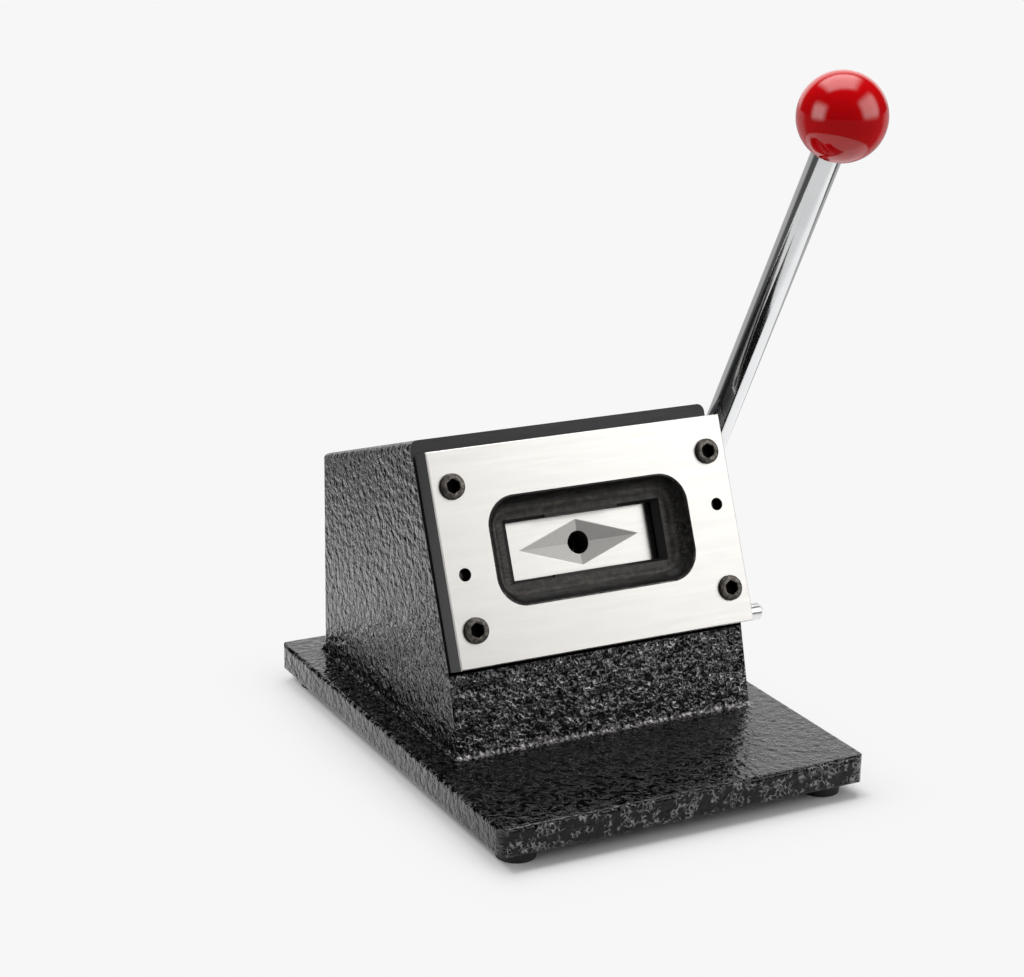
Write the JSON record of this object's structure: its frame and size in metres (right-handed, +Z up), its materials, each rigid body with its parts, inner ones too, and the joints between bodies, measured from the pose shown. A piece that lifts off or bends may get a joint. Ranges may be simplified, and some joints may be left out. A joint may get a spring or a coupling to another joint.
{
  "type": "photo strip cutter",
  "caption": "Bench die cutter: a side lever turns an eccentric that drives a rectangular punch through a sloping die plate to cut a picture from a photo strip.",
  "frame": {"origin": "centre of the base plate's footprint, on the table under the feet", "axes": "+Z up, +Y to the back, +X to the user's right, where the lever is; the die face looks to -Y"},
  "size_m": [0.1718, 0.206, 0.2729],
  "materials": {
    "hammer_paint": "glossy black hammer finish",
    "hammer_paint_cast": "glossy black hammer finish, die face machined bare",
    "ground_steel": "ground",
    "dark_steel": "hardened, dark",
    "plain_steel": "turned",
    "black_oxide": "black oxide",
    "chrome": "polished chrome",
    "bronze": "turned bronze",
    "red_knob": "glossy red",
    "rubber": "matt black rubber"
  },
  "bodies": {
    "frame": {"base_plate": "hammer_paint", "foot_front_left": "rubber", "foot_front_right": "rubber", "foot_rear_left": "rubber", "foot_rear_right": "rubber", "foot_screws": "plain_steel", "housing": "hammer_paint_cast", "housing_screws": "black_oxide", "guide_plate": "dark_steel", "guide_screws": "black_oxide", "left_guide_post": "plain_steel", "right_guide_post": "plain_steel", "left_return_spring": "plain_steel", "right_return_spring": "plain_steel", "left_spacer": "dark_steel", "right_spacer": "dark_steel", "die_plate": "ground_steel", "die_screws": "black_oxide", "dowel_pins": "plain_steel", "stop_pin": "chrome", "left_bushing": "bronze", "right_bushing": "bronze"},
    "lever": {"cam_shaft": "plain_steel", "eccentric_cam": "dark_steel", "cam_key": "plain_steel", "left_cam_spacer": "plain_steel", "right_cam_spacer": "plain_steel", "lever_hub": "black_oxide", "hub_pin": "plain_steel", "lever_rod": "chrome", "ball_knob": "red_knob", "knob_insert": "bronze"},
    "ram": {"ram": "dark_steel", "punch": "ground_steel", "punch_screw": "black_oxide", "wear_plate": "dark_steel", "wear_plate_screws": "black_oxide"}
  },
  "joints": [
    {"name": "lever_swing", "type": "hinge", "parent": "frame", "child": "lever", "pos_m": [0, 0.03849, 0.06422], "axis": [1, 0, 0], "range_deg": [0, 68], "stiffness_Nm_per_rad": 0.25, "springref_deg": -114.59},
    {"name": "ram_slide", "type": "slide", "parent": "frame", "child": "ram", "axis": [0, -0.9198, 0.3923], "range_m": [0, 0.0056], "deforming": ["left_return_spring", "right_return_spring"]}
  ],
  "couplings": [
    {"joint": "ram_slide", "follows": "lever_swing", "m_per_rad": 0.0047117}
  ]
}
